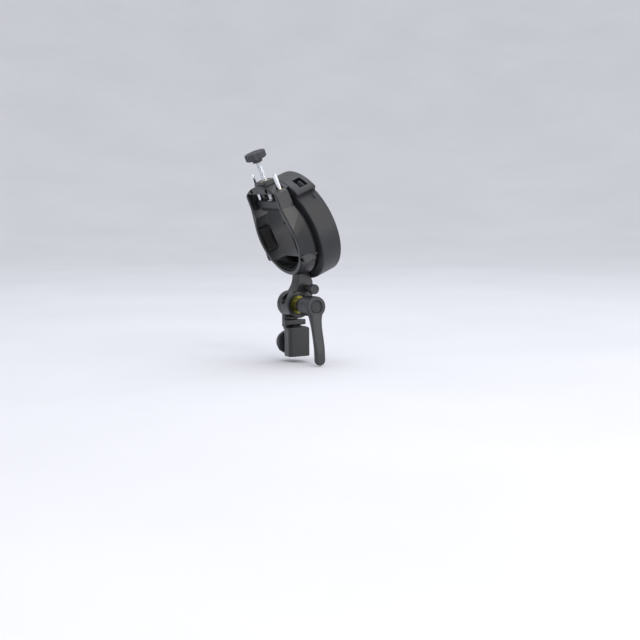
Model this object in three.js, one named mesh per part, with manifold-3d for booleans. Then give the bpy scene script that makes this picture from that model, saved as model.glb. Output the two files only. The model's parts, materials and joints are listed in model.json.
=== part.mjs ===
// Umbrella swivel bracket: a stand socket with a locking tilt hinge, an umbrella shaft hole with its
// thumb screw, a screw clamp that grips a flash head, and a bayonet ring for a light modifier.
// Millimetres, +Z up along the stand, ring facing -Y, tilt lever on the -X side.
// The origin is the centre of the flat ceiling of the stand socket's bore.
import * as THREE from 'three';
import { ConvexGeometry } from 'three/addons/geometries/ConvexGeometry.js';
import { mergeVertices } from 'three/addons/utils/BufferGeometryUtils.js';
import Module from 'manifold-3d';

const wasm = await Module();
wasm.setup();

// ---- driving dimensions -----------------------------------------------------------------------
const gap = 0.3; // between pieces that touch
const coarse = 16; // sides of a small round
const medium = 32; // sides of a hinge or knob sized round
const fine = 60; // sides of the ring

const tiltDeg = 23; // the ring looks this far up at rest
const hingeHeight = 30; // hinge axis above the socket bore's ceiling
const earRadius = 14.8;
const earFarX = 7;
const earNearX = -10.5;
const neckHalf = 7;
const boltRadius = 3;

const socket = { halfX: 11.5, halfY: 13.4, bottom: -27, shoulder: 3.6, archRise: 3.4, bore: 8.1 };
const farRound = { centre: -0.8, radius: 12.1 }; // the far side of the socket block is round
const farPlate = { inner: 7.3, outer: 14.5, halfArm: 8.6, radius: 14.5 };
const lockZ = -13; // height of the stand lock screw

const shaftZ = 10.5; // umbrella hole above the hinge axis, in the head's frame
const shaftHole = 4.2;
const thumbY = -18.5; // thumb screw ahead of the hinge axis

const ringZ = 74; // ring axis above the hinge axis, in the head's frame
const ring = { outer: 56, hood: 62, bore: 41, back: -28, front: -53, collar: 44 };
const frame = { back: -8, front: -24.5, rearRadius: 42.6, frontRadius: 47.5, inner: 38.2 };
const tower = { half: 34.2, inner: 29.9, top: 61.5, windowTop: 53 };
const rodX = 25.5;
const clampY = -20; // rods and clamp screw ahead of the hinge axis
const jaw = { low: 33, high: 42, half: 29, back: -15.5, front: -24.4 };

// ---- finishes ---------------------------------------------------------------------------------
const finish = (color, roughness, metalness) => new THREE.MeshStandardMaterial({ color, roughness, metalness });
const paintedMetal = finish(0x232326, 0.5, 0.3);
const mouldedBlack = finish(0x1d1e20, 0.6, 0);
const knobBlack = finish(0x33343a, 0.7, 0);
const rubberBlack = finish(0x141414, 0.9, 0);
const chrome = finish(0xd9dcde, 0.15, 1);
const steel = finish(0x9a9da0, 0.35, 1);
const brass = finish(0xb09a4a, 0.35, 1);
const yellowZinc = finish(0xa8a648, 0.35, 1);
const nylon = finish(0xd8d6cc, 0.7, 0);

// ---- solids -----------------------------------------------------------------------------------
// A closed three.js geometry, placed by a matrix, as a solid with its faces pointing outwards.
function solid(geometry, placement = new THREE.Matrix4()) {
  const placed = geometry.clone().applyMatrix4(placement);
  placed.deleteAttribute('normal');
  placed.deleteAttribute('uv');
  const merged = mergeVertices(placed, 1e-4);
  const points = merged.attributes.position.array;
  const corners = merged.index.array;
  const kept = [];
  let volume = 0;
  const a = new THREE.Vector3();
  const b = new THREE.Vector3();
  const c = new THREE.Vector3();
  for (let i = 0; i < corners.length; i += 3) {
    const [p, q, r] = [corners[i], corners[i + 1], corners[i + 2]];
    if (p === q || q === r || r === p) continue;
    kept.push(p, q, r);
    a.fromArray(points, 3 * p);
    b.fromArray(points, 3 * q);
    c.fromArray(points, 3 * r);
    volume += a.dot(b.cross(c));
  }
  if (volume < 0) kept.reverse();
  const mesh = new wasm.Mesh({
    numProp: 3,
    vertProperties: Float32Array.from(points),
    triVerts: Uint32Array.from(kept),
  });
  return new wasm.Manifold(mesh);
}

// Every solid of a list joined to the first, or cut from it.
const join = (first, ...rest) => rest.reduce((whole, next) => whole.add(next), first);
const cut = (first, ...rest) => rest.reduce((whole, next) => whole.subtract(next), first);

// A box between two corners.
function block(x0, x1, y0, y1, z0, z1) {
  const geometry = new THREE.BoxGeometry(x1 - x0, y1 - y0, z1 - z0);
  return solid(geometry, new THREE.Matrix4().makeTranslation((x0 + x1) / 2, (y0 + y1) / 2, (z0 + z1) / 2));
}

// The turn that takes a lathe's own Y axis to the named axis.
const axisTurn = {
  x: new THREE.Matrix4().makeRotationZ(-Math.PI / 2),
  y: new THREE.Matrix4(),
  z: new THREE.Matrix4().makeRotationX(Math.PI / 2),
};

// A turned solid: [radius, place along the axis] pairs that start and end on the axis or close.
function turned(profile, axis, centre = [0, 0, 0], sides = medium) {
  const points = profile.map(([radius, along]) => new THREE.Vector2(radius, along));
  const geometry = new THREE.LatheGeometry(points, sides);
  return solid(geometry, new THREE.Matrix4().makeTranslation(...centre).multiply(axisTurn[axis]));
}

// A plain rod from one place along the axis to another.
const rod = (radius, from, to, axis, centre, sides) =>
  turned([[0, from], [radius, from], [radius, to], [0, to]], axis, centre, sides);

// A rod with a small chamfer at both ends.
function chamferedRod(radius, from, to, chamfer, axis, centre, sides) {
  const profile = [[0, from], [radius - chamfer, from], [radius, from + chamfer]];
  profile.push([radius, to - chamfer], [radius - chamfer, to], [0, to]);
  return turned(profile, axis, centre, sides);
}

// A ring with a square section.
function band(inner, outer, from, to, axis, centre, sides) {
  const profile = [[inner, from], [outer, from], [outer, to], [inner, to], [inner, from]];
  return turned(profile, axis, centre, sides);
}

// An outline pushed into a prism. Plane xz is pushed towards -Y, yz towards +X and xy towards +Z.
const planeBasis = {
  xz: [new THREE.Vector3(1, 0, 0), new THREE.Vector3(0, 0, 1), new THREE.Vector3(0, -1, 0)],
  yz: [new THREE.Vector3(0, 1, 0), new THREE.Vector3(0, 0, 1), new THREE.Vector3(1, 0, 0)],
  xy: [new THREE.Vector3(1, 0, 0), new THREE.Vector3(0, 1, 0), new THREE.Vector3(0, 0, 1)],
};
function prism(shape, plane, start, depth, options = {}) {
  const settings = { depth, bevelEnabled: false, curveSegments: 12, ...options };
  const geometry = new THREE.ExtrudeGeometry(shape, settings);
  const [across, up, push] = planeBasis[plane];
  const placement = new THREE.Matrix4().makeBasis(across, up, push);
  placement.setPosition(push.clone().multiplyScalar(start));
  return solid(geometry, placement);
}

const outline = (points) => new THREE.Shape(points.map(([x, y]) => new THREE.Vector2(x, y)));

// A sector of a ring in an outline's plane, its angles counted from straight up.
function sector(inner, outer, halfAngle) {
  const up = Math.PI / 2;
  const shape = new THREE.Shape();
  shape.absarc(0, 0, outer, up + halfAngle, up - halfAngle, true);
  shape.absarc(0, 0, inner, up - halfAngle, up + halfAngle, false);
  shape.closePath();
  return shape;
}

// A knob's outline: a circle whose edge swells and sinks by lobes.
function lobed(radius, swell, lobes, steps) {
  const points = [];
  for (let i = 0; i < steps; i += 1) {
    const angle = (2 * Math.PI * i) / steps;
    const reach = radius + swell * Math.cos(lobes * angle);
    points.push([reach * Math.cos(angle), reach * Math.sin(angle)]);
  }
  return outline(points);
}

const shifted = (piece, x, y, z) => piece.translate([x, y, z]);

// Adds a piece to a group as a named mesh.
function place(group, name, piece, material) {
  const { vertProperties, triVerts } = piece.getMesh();
  const geometry = new THREE.BufferGeometry();
  geometry.setAttribute('position', new THREE.BufferAttribute(Float32Array.from(vertProperties), 3));
  geometry.setIndex(new THREE.BufferAttribute(Uint32Array.from(triVerts), 1));
  geometry.computeVertexNormals();
  const mesh = new THREE.Mesh(geometry, material);
  mesh.name = name;
  group.add(mesh);
}

// ---- stand socket -----------------------------------------------------------------------------
const bracket = new THREE.Group();
const hinge = [0, 0, hingeHeight];

// The socket: an arched block with a spigot bore, a waist, a saddle under the hinge and one far ear.
function standSocket() {
  const { halfX, halfY, bottom, shoulder, archRise, bore } = socket;
  const archRadius = (halfY ** 2 + archRise ** 2) / (2 * archRise);
  const archTurn = Math.asin(halfY / archRadius);
  const face = new THREE.Shape();
  face.moveTo(-halfY, bottom);
  face.lineTo(halfY, bottom);
  face.lineTo(halfY, shoulder);
  const archCentre = shoulder + archRise - archRadius;
  const up = Math.PI / 2;
  face.absarc(0, archCentre, archRadius, up - archTurn, up + archTurn, false);
  face.closePath();
  const plan = new THREE.Shape();
  const corner = 3.2;
  plan.moveTo(farRound.centre, farRound.radius);
  plan.absarc(-halfX + corner, halfY - corner, corner, up, 2 * up, false);
  plan.absarc(-halfX + corner, -halfY + corner, corner, 2 * up, 3 * up, false);
  plan.absarc(farRound.centre, 0, farRound.radius, -up, up, false);
  const planPrism = prism(plan, 'xy', bottom, shoulder + archRise - bottom, { curveSegments: 8 });
  const body = prism(face, 'yz', -halfX, 2 * halfX + 1).intersect(planPrism);
  const lockBoss = rod(6.2, 8, 11.7, 'x', [0, 0, lockZ], 24);

  const saddlePlan = outline([[-2.5, -12.8], [0, -12.8], [7.3, -9.4], [7.3, 9.4], [0, 12.8], [-2.5, 12.8]]);
  const saddle = prism(saddlePlan, 'xy', 7.5, 5.5);
  const waist = block(1, farPlate.outer - 3, -9, 9, 2, 9);
  const arm = block(farPlate.inner, farPlate.outer, -farPlate.halfArm, farPlate.halfArm, 4.5, hingeHeight);
  const disc = chamferedRod(farPlate.radius, farPlate.inner, farPlate.outer, 0.8, 'x', hinge);
  const blockedByEar = rod(earRadius + 0.8, -20, earFarX + gap, 'x', hinge);
  const upper = cut(join(saddle, waist, arm, disc), blockedByEar);

  const spigotBore = turned(
    [[0, bottom - 1], [bore + 1.9, bottom - 1], [bore, bottom + 0.9], [bore, 0], [0, 0]], 'z', [0, 0, 0]);
  const boltHole = rod(boltRadius + gap, 0, 20, 'x', hinge, coarse);
  const headPocket = rod(6.3, farPlate.outer - 3.4, 20, 'x', hinge, 6);
  const lockPocket = rod(3.9, 5, 9.75, 'x', [0, 0, lockZ], coarse);
  const insertPocket = rod(4.3, 9.7, 20, 'x', [0, 0, lockZ], coarse);
  return cut(join(body, lockBoss, upper), spigotBore, boltHole, headPocket, lockPocket, insertPocket);
}
place(bracket, 'stand_socket', standSocket(), paintedMetal);

// The hinge bolt: a hexagon head sunk in the far ear and a shank out to the lever's nut.
function pivotBolt() {
  const head = rod(5.9, 11.4, 14, 'x', hinge, 6);
  const shank = rod(boltRadius, -30, 12, 'x', hinge, coarse);
  return join(head, shank);
}
place(bracket, 'pivot_bolt', pivotBolt(), steel);

// The stand lock: threaded insert, pressure pad, screw, lobed knob and its cap on the far side.
const lockCentre = [0, 0, lockZ];
place(bracket, 'lock_insert', band(3.3, 4, 10, 11.7, 'x', lockCentre, coarse), brass);
place(bracket, 'lock_pad', chamferedRod(3.5, 7.7, 9, 0.3, 'x', lockCentre, coarse), nylon);
place(bracket, 'lock_screw', rod(3, 9.3, 19.5, 'x', lockCentre, coarse), steel);
function lockKnob() {
  const grip = prism(lobed(13.5, 0.7, 6, 60), 'yz', 13, 12).rotate([30, 0, 0]);
  const dome = turned([[0, 13], [13.4, 13], [14.3, 13.9], [14.3, 15], [10.6, 23.6], [9.6, 24.6], [0, 24.6]], 'x');
  const screwHole = rod(3.3, 10, 19.8, 'x', undefined, coarse);
  const capSeat = rod(7.3, 23.8, 26, 'x', undefined, 24);
  return shifted(cut(grip.intersect(dome), screwHole, capSeat), ...lockCentre);
}
place(bracket, 'lock_knob', lockKnob(), knobBlack);
place(bracket, 'lock_knob_cap', chamferedRod(7, 24.1, 25, 0.3, 'x', lockCentre, 24), mouldedBlack);

// ---- tilt lever -------------------------------------------------------------------------------
// The nut that the lever turns on the hinge bolt: a flange on the washer and a long splined sleeve.
function leverNut() {
  const profile = [[0, -34], [4.5, -34], [5, -33.5], [5, -13.5], [6.6, -13.5], [6.6, -9.7], [0, -9.7]];
  const body = turned(profile, 'x', hinge, 24);
  return cut(body, rod(boltRadius + gap, -30.4, 0, 'x', hinge, coarse));
}
place(bracket, 'lever_nut', leverNut(), steel);
place(bracket, 'lever_screw', join(
  rod(3.2, -42.6, -34.3, 'x', hinge, coarse),
  chamferedRod(6, -44.2, -42.6, 0.4, 'x', hinge, coarse)), steel);

// The lever's return spring, at its closed length against the screw's head.
place(bracket, 'lever_spring', band(4, 5.9, -42.3, -40, 'x', hinge, coarse), steel);

// The lever: a tall waisted hub, and an arm that flares into the hub and leans outwards to a round tip.
function tiltLever() {
  const hubRadius = 11.4;
  const hub = turned([
    [0, -47], [hubRadius, -47], [hubRadius, -39.5], [10.9, -38], [10.9, -27], [10.3, -24], [7.4, -14.4],
    [6.9, -13.9], [0, -13.9]], 'x');
  const half = 5.9;
  const tip = -56.4;
  const meet = THREE.MathUtils.degToRad(38);
  const meetY = hubRadius * Math.cos(meet);
  const meetZ = -hubRadius * Math.sin(meet);
  const bend = meetZ - (meetY - half) / Math.tan(meet);
  const arm = new THREE.Shape();
  arm.absarc(0, tip, half, Math.PI, 2 * Math.PI, false);
  arm.lineTo(half, -26);
  arm.quadraticCurveTo(half, bend, meetY, meetZ);
  arm.lineTo(-meetY, meetZ);
  arm.quadraticCurveTo(-half, bend, -half, -26);
  arm.closePath();
  const front = prism(arm, 'yz', -60, 30, { curveSegments: 6 });
  const side = outline([
    [-47, 0], [-47, -8], [-48.2, -16], [-52.6, -34], [-54.8, -44], [-55.4, -52], [-55.4, -64], [-50, -64],
    [-49.8, -52], [-48.8, -44], [-46.6, -34], [-42, -18], [-39.6, -11], [-39.6, 0]]);
  const handle = join(hub, front.intersect(prism(side, 'xz', -30, 60)));
  const nutBore = rod(5.35, -34.35, -10, 'x', undefined, 24);
  const screwBore = rod(3.6, -40, -30, 'x', undefined, coarse);
  const capBore = rod(7, -50, -37.1, 'x');
  return shifted(cut(handle, nutBore, screwBore, capBore), ...hinge);
}
place(bracket, 'tilt_lever', tiltLever(), mouldedBlack);
place(bracket, 'lever_cap', chamferedRod(6.6, -46.3, -44.6, 0.4, 'x', hinge, medium), mouldedBlack);

// ---- head, in its own frame with the hinge axis at its origin ---------------------------------
const head = new THREE.Group();
head.position.set(0, 0, hingeHeight);
head.rotation.x = -THREE.MathUtils.degToRad(tiltDeg);
bracket.add(head);

// The frame's flared round body and everything within a clearance of it.
function flare(clearance) {
  const { back, front, rearRadius, frontRadius } = frame;
  const centre = [0, 0, ringZ];
  const profile = [[0, back], [rearRadius + clearance, back], [frontRadius + clearance, front], [0, front]];
  return turned(profile, 'y', centre, fine);
}

const neckScrewPlaces = [-3.8, 3.8];

// The neck: the near ear of the hinge rising to a leaning arm that carries the frame.
function neckArm() {
  const side = new THREE.Shape();
  side.moveTo(-27.6, 34);
  side.lineTo(-27.6, 16);
  side.quadraticCurveTo(-26.6, 11, -20.5, -0.5);
  side.lineTo(-10, -9);
  side.lineTo(6, 2);
  side.lineTo(8, 12.4);
  side.bezierCurveTo(-2, 14.5, -13.5, 22, -14, 34);
  side.closePath();
  const arm = prism(side, 'yz', -neckHalf, 2 * neckHalf, { curveSegments: 8 });
  const ear = chamferedRod(earRadius, earNearX, earFarX, 0.6, 'x');
  const boltHole = rod(boltRadius + gap, -20, 20, 'x', undefined, coarse);
  const washerPocket = rod(11.6, -20, -7.6, 'x');
  const umbrellaHole = rod(shaftHole, -60, 40, 'y', [0, 0, shaftZ], 24);
  const screwHole = rod(2.4, -20, 0, 'x', [0, thumbY, shaftZ], coarse);
  const insertPocket = rod(3.5, -20, -4.5, 'x', [0, thumbY, shaftZ], coarse);
  const collarClearance = rod(ring.collar + gap, -40, frame.front + 0.1, 'y', [0, 0, ringZ], fine);
  const tapped = neckScrewPlaces.map((x) => rod(1.9, 20, 40, 'z', [x, clampY, 0], 16));
  return cut(join(arm, ear), flare(gap), collarClearance, boltHole, washerPocket, umbrellaHole,
    screwHole, insertPocket, ...tapped);
}
place(head, 'neck_arm', neckArm(), paintedMetal);

// The plated washer lies in the ear's pocket, under the flange of the lever's nut.
place(head, 'plated_washer', band(3.5, 9.8, -9.4, -7.9, 'x', undefined, 24), yellowZinc);

// Umbrella clamp: brass insert, nylon tip, screw and knurled thumb knob.
const thumb = [0, thumbY, shaftZ];
place(head, 'umbrella_insert', band(2.3, 3.2, -7.6, -4.8, 'x', thumb, coarse), brass);
place(head, 'umbrella_tip', chamferedRod(1.6, -5.4, -4.1, 0.2, 'x', thumb, 12), nylon);
place(head, 'umbrella_screw', rod(2, -18.5, -5.7, 'x', thumb, coarse), steel);
function thumbKnob() {
  const grip = prism(lobed(5.4, 0.2, 18, 54), 'yz', -22, 6);
  const ends = turned([[0, -22], [5.2, -22], [5.6, -21.5], [5.6, -16.6], [5, -16], [0, -16]], 'x');
  const shoulder = rod(3.8, -16.5, -8.6, 'x', undefined, 24);
  const screwHole = rod(2.3, -18.8, -8, 'x', undefined, coarse);
  return shifted(cut(join(grip.intersect(ends), shoulder), screwHole), ...thumb);
}
place(head, 'umbrella_knob', thumbKnob(), knobBlack);

// The clamp frame: a flared band round the flash head, with a tower for the jaw, a threaded boss on
// top and four screw bosses on its flanks. Its outlines are centred on the ring's axis.
const bossPlaces = [[-37.3, -23.2], [37.3, -23.2], [-16.5, 56.4], [16.5, 56.4]];

// A shoulder between the tower's side and the flare: a flat that runs from the tower's crease, higher at
// the back, down to where it touches the flare. Side is 1 or -1.
function shoulder(side) {
  const section = (y, creaseZ, radius) => {
    const crease = Math.atan2(tower.half, creaseZ);
    const touch = crease + Math.acos(radius / Math.hypot(tower.half, creaseZ));
    const touchPoint = [radius * Math.sin(touch), radius * Math.cos(touch)];
    return [[20, 10], touchPoint, [tower.half, creaseZ], [20, creaseZ]]
      .map(([x, z]) => new THREE.Vector3(side * x, y, z));
  };
  const back = section(frame.back, 36.5, frame.rearRadius);
  const front = section(frame.front, 33.9, frame.frontRadius);
  return solid(new ConvexGeometry([...back, ...front]));
}

function clampFrame() {
  const depth = frame.back - frame.front;
  const top = Math.asin((tower.half - 1.6) / tower.top);
  const up = Math.PI / 2;
  const towerShape = new THREE.Shape();
  towerShape.moveTo(-tower.half, 10);
  towerShape.lineTo(tower.half, 10);
  towerShape.lineTo(tower.half, 49);
  towerShape.absarc(0, 0, tower.top, up - top, up + top, false);
  towerShape.lineTo(-tower.half, 49);
  towerShape.closePath();
  const towerTop = turned([[0, -7], [tower.top - 1.7, -7], [tower.top - 1.7, frame.back],
    [tower.top, frame.back - 1.7], [tower.top, -30], [0, -30]], 'y', undefined, fine);
  const opening = new THREE.Shape();
  const springing = Math.acos(tower.inner / frame.inner);
  opening.moveTo(tower.inner, tower.windowTop);
  opening.lineTo(-tower.inner, tower.windowTop);
  opening.absarc(0, 0, frame.inner, Math.PI - springing, 2 * Math.PI + springing, false);
  opening.closePath();
  const start = -frame.back;
  const lift = (piece) => shifted(piece, 0, 0, ringZ);
  const boss = block(-11, 11, -26.6, -12.5, 52, 65);
  const flankBosses = bossPlaces.slice(0, 2).map(([x, z]) =>
    block(x - 3.4, x + 3.4, frame.front, -8.8, z - 4.8, z + 4.9));
  const outside = join(
    lift(prism(towerShape, 'xz', start, depth).intersect(towerTop)),
    lift(shoulder(1)),
    lift(shoulder(-1)),
    lift(boss),
    ...flankBosses.map(lift),
    flare(0));
  const openingCut = lift(prism(opening, 'xz', 0, 40, { curveSegments: 28 }));
  const holes = [
    rod(3.8, 40, 70, 'z', [-rodX, clampY, ringZ], coarse),
    rod(3.8, 40, 70, 'z', [rodX, clampY, ringZ], coarse),
    rod(3.7, 45, 70, 'z', [0, clampY, ringZ], coarse),
    rod(5.8, 57, 70, 'z', [0, clampY, ringZ], 24),
    ...bossPlaces.map(([x, z]) => rod(1.7, -40, 0, 'y', [x, 0, ringZ + z], 12)),
    ...bossPlaces.map(([x, z]) => rod(2.6, -12.9, 0, 'y', [x, 0, ringZ + z], 16)),
    ...neckScrewPlaces.map((x) => rod(1.9, -50, 0, 'z', [x, clampY, ringZ], 16)),
    ...neckScrewPlaces.map((x) => rod(3.1, -40.8, 0, 'z', [x, clampY, ringZ], 16)),
  ];
  return cut(outside, openingCut, ...holes);
}
place(head, 'clamp_frame', clampFrame(), paintedMetal);

// Two screws hold the frame to the neck from inside, and four long ones hold it to the ring.
neckScrewPlaces.forEach((x, i) => {
  const centre = [x, clampY, ringZ];
  const screw = join(rod(1.6, -52, -40, 'z', centre, 12), rod(2.8, -40.5, -38.7, 'z', centre, 16));
  place(head, `neck_screw_${i + 1}`, screw, steel);
});
bossPlaces.forEach(([x, z], i) => {
  const centre = [x, 0, ringZ + z];
  const screw = join(rod(2.3, -12.6, -10.6, 'y', centre, 16), rod(1.4, -33, -12, 'y', centre, 12));
  place(head, `housing_screw_${i + 1}`, screw, steel);
});

// Rubber liners: an arc in the bottom of the band and one on each side of it.
function liner(middleDeg, halfDeg) {
  const shape = sector(frame.inner - 2.6, frame.inner - gap, THREE.MathUtils.degToRad(halfDeg));
  const piece = prism(shape, 'xz', 9.5, 13.5, { curveSegments: 14 });
  return shifted(piece.rotate([0, middleDeg, 0]), 0, 0, ringZ);
}
place(head, 'cradle_pad', liner(180, 42), rubberBlack);
place(head, 'side_pad_near', liner(-96, 22), rubberBlack);
place(head, 'side_pad_far', liner(96, 22), rubberBlack);

// Guide bushes, and the brass nut of the clamp screw.
const bushProfile = [[2.8, 51.6], [4.1, 51.6], [4.1, 52.7], [3.5, 52.7], [3.5, 54.6], [2.8, 54.6], [2.8, 51.6]];
place(head, 'guide_bush_near', turned(bushProfile, 'z', [-rodX, clampY, ringZ], coarse), brass);
place(head, 'guide_bush_far', turned(bushProfile, 'z', [rodX, clampY, ringZ], coarse), brass);
place(head, 'clamp_nut', band(3.3, 5.5, 57.3, 64.7, 'z', [0, clampY, ringZ], 24), brass);

// ---- clamp jaw, screw and knob ----------------------------------------------------------------
const clampCentre = [0, clampY, ringZ];
function clampJaw() {
  const shape = new THREE.Shape();
  const round = 3.4;
  shape.moveTo(-jaw.half + round, jaw.low);
  shape.lineTo(jaw.half - round, jaw.low);
  shape.absarc(jaw.half - round, jaw.low + round, round, -Math.PI / 2, 0, false);
  shape.absarc(jaw.half - round, jaw.high - round, round, 0, Math.PI / 2, false);
  shape.absarc(-jaw.half + round, jaw.high - round, round, Math.PI / 2, Math.PI, false);
  shape.absarc(-jaw.half + round, jaw.low + round, round, Math.PI, 1.5 * Math.PI, false);
  const bar = shifted(prism(shape, 'xz', -jaw.back, jaw.back - jaw.front, { curveSegments: 4 }), 0, 0, ringZ);
  const rodHole = (x) => rod(2.8, jaw.low + 1.3, 60, 'z', [x, clampY, ringZ], coarse);
  const screwHole = rod(3.3, jaw.low + 2, 60, 'z', clampCentre, coarse);
  return cut(bar, rodHole(-rodX), rodHole(rodX), screwHole);
}
place(head, 'clamp_jaw', clampJaw(), mouldedBlack);
place(head, 'jaw_pad', block(-24, 24, -24, -16, ringZ + 30.2, ringZ + jaw.low - gap), rubberBlack);
['near', 'far'].forEach((side) => {
  const x = side === 'near' ? -rodX : rodX;
  const guide = chamferedRod(2.5, jaw.low + 1.6, 71.5, 0.5, 'z', [x, clampY, ringZ], coarse);
  place(head, `guide_rod_${side}`, guide, chrome);
});

// The screw has a groove above the jaw, where an open clip keeps it in the jaw.
const clipLow = jaw.high + gap;
function clampScrew() {
  const profile = [
    [0, jaw.low + 2.3], [2.6, jaw.low + 2.3], [3, jaw.low + 2.8], [3, clipLow - 0.1], [2.2, clipLow - 0.1],
    [2.2, clipLow + 1.5], [3, clipLow + 1.5], [3, 93.6], [0, 93.6]];
  return turned(profile, 'z', clampCentre, coarse);
}
place(head, 'clamp_screw', clampScrew(), chrome);
function screwClip() {
  const ringPart = band(2.55, 5, clipLow, clipLow + 1.2, 'z', clampCentre, coarse);
  return cut(ringPart, block(-1.9, 1.9, clampY - 8, clampY, ringZ + 40, ringZ + 46));
}
place(head, 'screw_clip', screwClip(), steel);
function clampKnob() {
  const grip = prism(lobed(11.1, 0.6, 10, 60), 'xy', 89.5, 7.6);
  const dome = turned([
    [0, 86], [5.2, 86], [5.6, 86.4], [5.6, 89.5], [10.6, 89.5], [12, 90.5], [12, 96.2], [10.8, 97.1],
    [0, 97.1]], 'z');
  const hub = rod(5.5, 86, 90, 'z', undefined, medium);
  const knob = join(grip.intersect(dome), hub);
  const screwHole = rod(3.3, 85, 94, 'z', undefined, coarse);
  const capSeat = rod(6.3, 96.2, 99, 'z', undefined, medium);
  return shifted(cut(knob, screwHole, capSeat), ...clampCentre);
}
place(head, 'clamp_knob', clampKnob(), knobBlack);
place(head, 'clamp_knob_cap', chamferedRod(6, 96.5, 97.3, 0.25, 'z', clampCentre, medium), mouldedBlack);

// ---- bayonet ring -----------------------------------------------------------------------------
const ringCentre = [0, 0, ringZ];
const latchDeg = 31; // the latch window's turn from the top towards the near side
const pin = { reach: 54.4, radius: 1.8 };
const springX = 3.7;
const latchTurn = (piece) => shifted(piece.rotate([0, -latchDeg, 0]), ...ringCentre);

// The housing: a thick ring with a raised hood over its top, a lug channel and a latch window.
function ringHousing() {
  const { outer, hood, bore, back, front, collar } = ring;
  const profile = [
    [bore, -24.8], [collar, -24.8], [collar, back], [outer - 1, back], [outer, back - 1], [outer, front + 1],
    [outer - 1, front], [51.3, front], [51.3, front + 2.8], [49.9, front + 2.8], [49.9, -44.5], [bore, -44.5],
    [bore, -24.8]];
  const body = turned(profile, 'y', ringCentre, fine);
  const hoodShape = sector(54.5, hood, THREE.MathUtils.degToRad(44.5));
  const hoodPart = shifted(prism(hoodShape, 'xz', -back, back - front, { curveSegments: 20 }), ...ringCentre);
  const bridgeShape = sector(48, tower.top, THREE.MathUtils.degToRad(29));
  const bridge = shifted(prism(bridgeShape, 'xz', 24.8, 5, { curveSegments: 14 }), ...ringCentre);
  const window = latchTurn(block(-7.5, 7.5, -47, -37, 52, 70));
  const mark = block(-3.4, 3.4, -46, -40, 54.9, 60).rotate([0, -51, 0]);
  const bossRoom = block(-11.4, 11.4, -27, -20, ringZ + 50, ringZ + 70);
  const pinHole = latchTurn(rod(2.1, -60, -40, 'y', [0, 0, pin.reach], 16));
  const postShape = sector(45.3, 50.4, THREE.MathUtils.degToRad(15));
  const posts = [105, 225, 345].map((angle) =>
    shifted(prism(postShape, 'xz', 44, 6.2, { curveSegments: 6 }).rotate([0, angle, 0]), ...ringCentre));
  const screwHoles = plateScrewAngles.map((angle) => rod(1.4, -60, -45, 'y', onRing(angle), 12));
  const longHoles = bossPlaces.map(([x, z]) => rod(1.7, -33.3, -20, 'y', [x, 0, ringZ + z], 12));
  return cut(join(body, hoodPart, bridge, ...posts), window, shifted(mark, ...ringCentre), bossRoom, pinHole, ...screwHoles, ...longHoles);
}

// Three lug slots between the screws of the metal bayonet plate.
const plate = { inner: 43.8, outer: 51, slot: 49.4, face: -52.7, back: -50.5 };
const plateScrewAngles = [96, 114, 216, 234, 336, 354];
function onRing(angleDeg) {
  const angle = THREE.MathUtils.degToRad(angleDeg);
  return [47.6 * Math.sin(angle), 0, ringZ + 47.6 * Math.cos(angle)];
}
function bayonetPlate() {
  const body = band(plate.inner, plate.outer, plate.face, plate.back, 'y', ringCentre, fine);
  const slotShape = sector(40, plate.slot, THREE.MathUtils.degToRad(15));
  const slots = [45, 165, 285].map((angle) =>
    shifted(prism(slotShape, 'xz', 45, 12, { curveSegments: 6 }).rotate([0, angle, 0]), ...ringCentre));
  const holes = plateScrewAngles.map((angle) => rod(1.4, -60, -45, 'y', onRing(angle), 12));
  const sinks = plateScrewAngles.map((angle) => rod(2.3, -60, -51.7, 'y', onRing(angle), 12));
  return cut(body, ...slots, ...holes, ...sinks);
}
place(head, 'ring_housing', ringHousing(), mouldedBlack);
place(head, 'bayonet_plate', bayonetPlate(), steel);
plateScrewAngles.forEach((angle, i) => {
  const centre = onRing(angle);
  const screw = join(rod(2, -52.6, -52, 'y', centre, 12), rod(1.1, -52.2, -45.3, 'y', centre, 12));
  place(head, `plate_screw_${i + 1}`, screw, steel);
});

// The latch: a thumb slider in the window, the pin that it draws back, and its two return springs.
function latchSlider() {
  const body = join(block(-5.6, 5.6, -46.6, -41.6, 52.4, 58.2), block(-4.8, 4.8, -45.4, -42.8, 58, 59.8));
  const pinSeat = rod(pin.radius + gap, -50, -43.6, 'y', [0, 0, pin.reach], 16);
  const springSeats = [-springX, springX].map((x) => rod(1.5, -44.9, -40, 'y', [x, 0, 55.6], 12));
  return latchTurn(cut(body, pinSeat, ...springSeats));
}
place(head, 'latch_slider', latchSlider(), knobBlack);
const latchPin = chamferedRod(pin.radius, -55, -43.9, 0.4, 'y', [0, 0, pin.reach], 16);
place(head, 'latch_pin', latchTurn(latchPin), steel);
['near', 'far'].forEach((side) => {
  const x = side === 'near' ? -springX : springX;
  const spring = band(0.7, 1.2, -41.3, -37.3, 'y', [x, 0, 55.6], 12);
  place(head, `latch_spring_${side}`, latchTurn(spring), steel);
});

export default bracket;
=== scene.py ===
import json

import bmesh
import bpy
import numpy as np
from mathutils import Matrix, Vector

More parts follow.
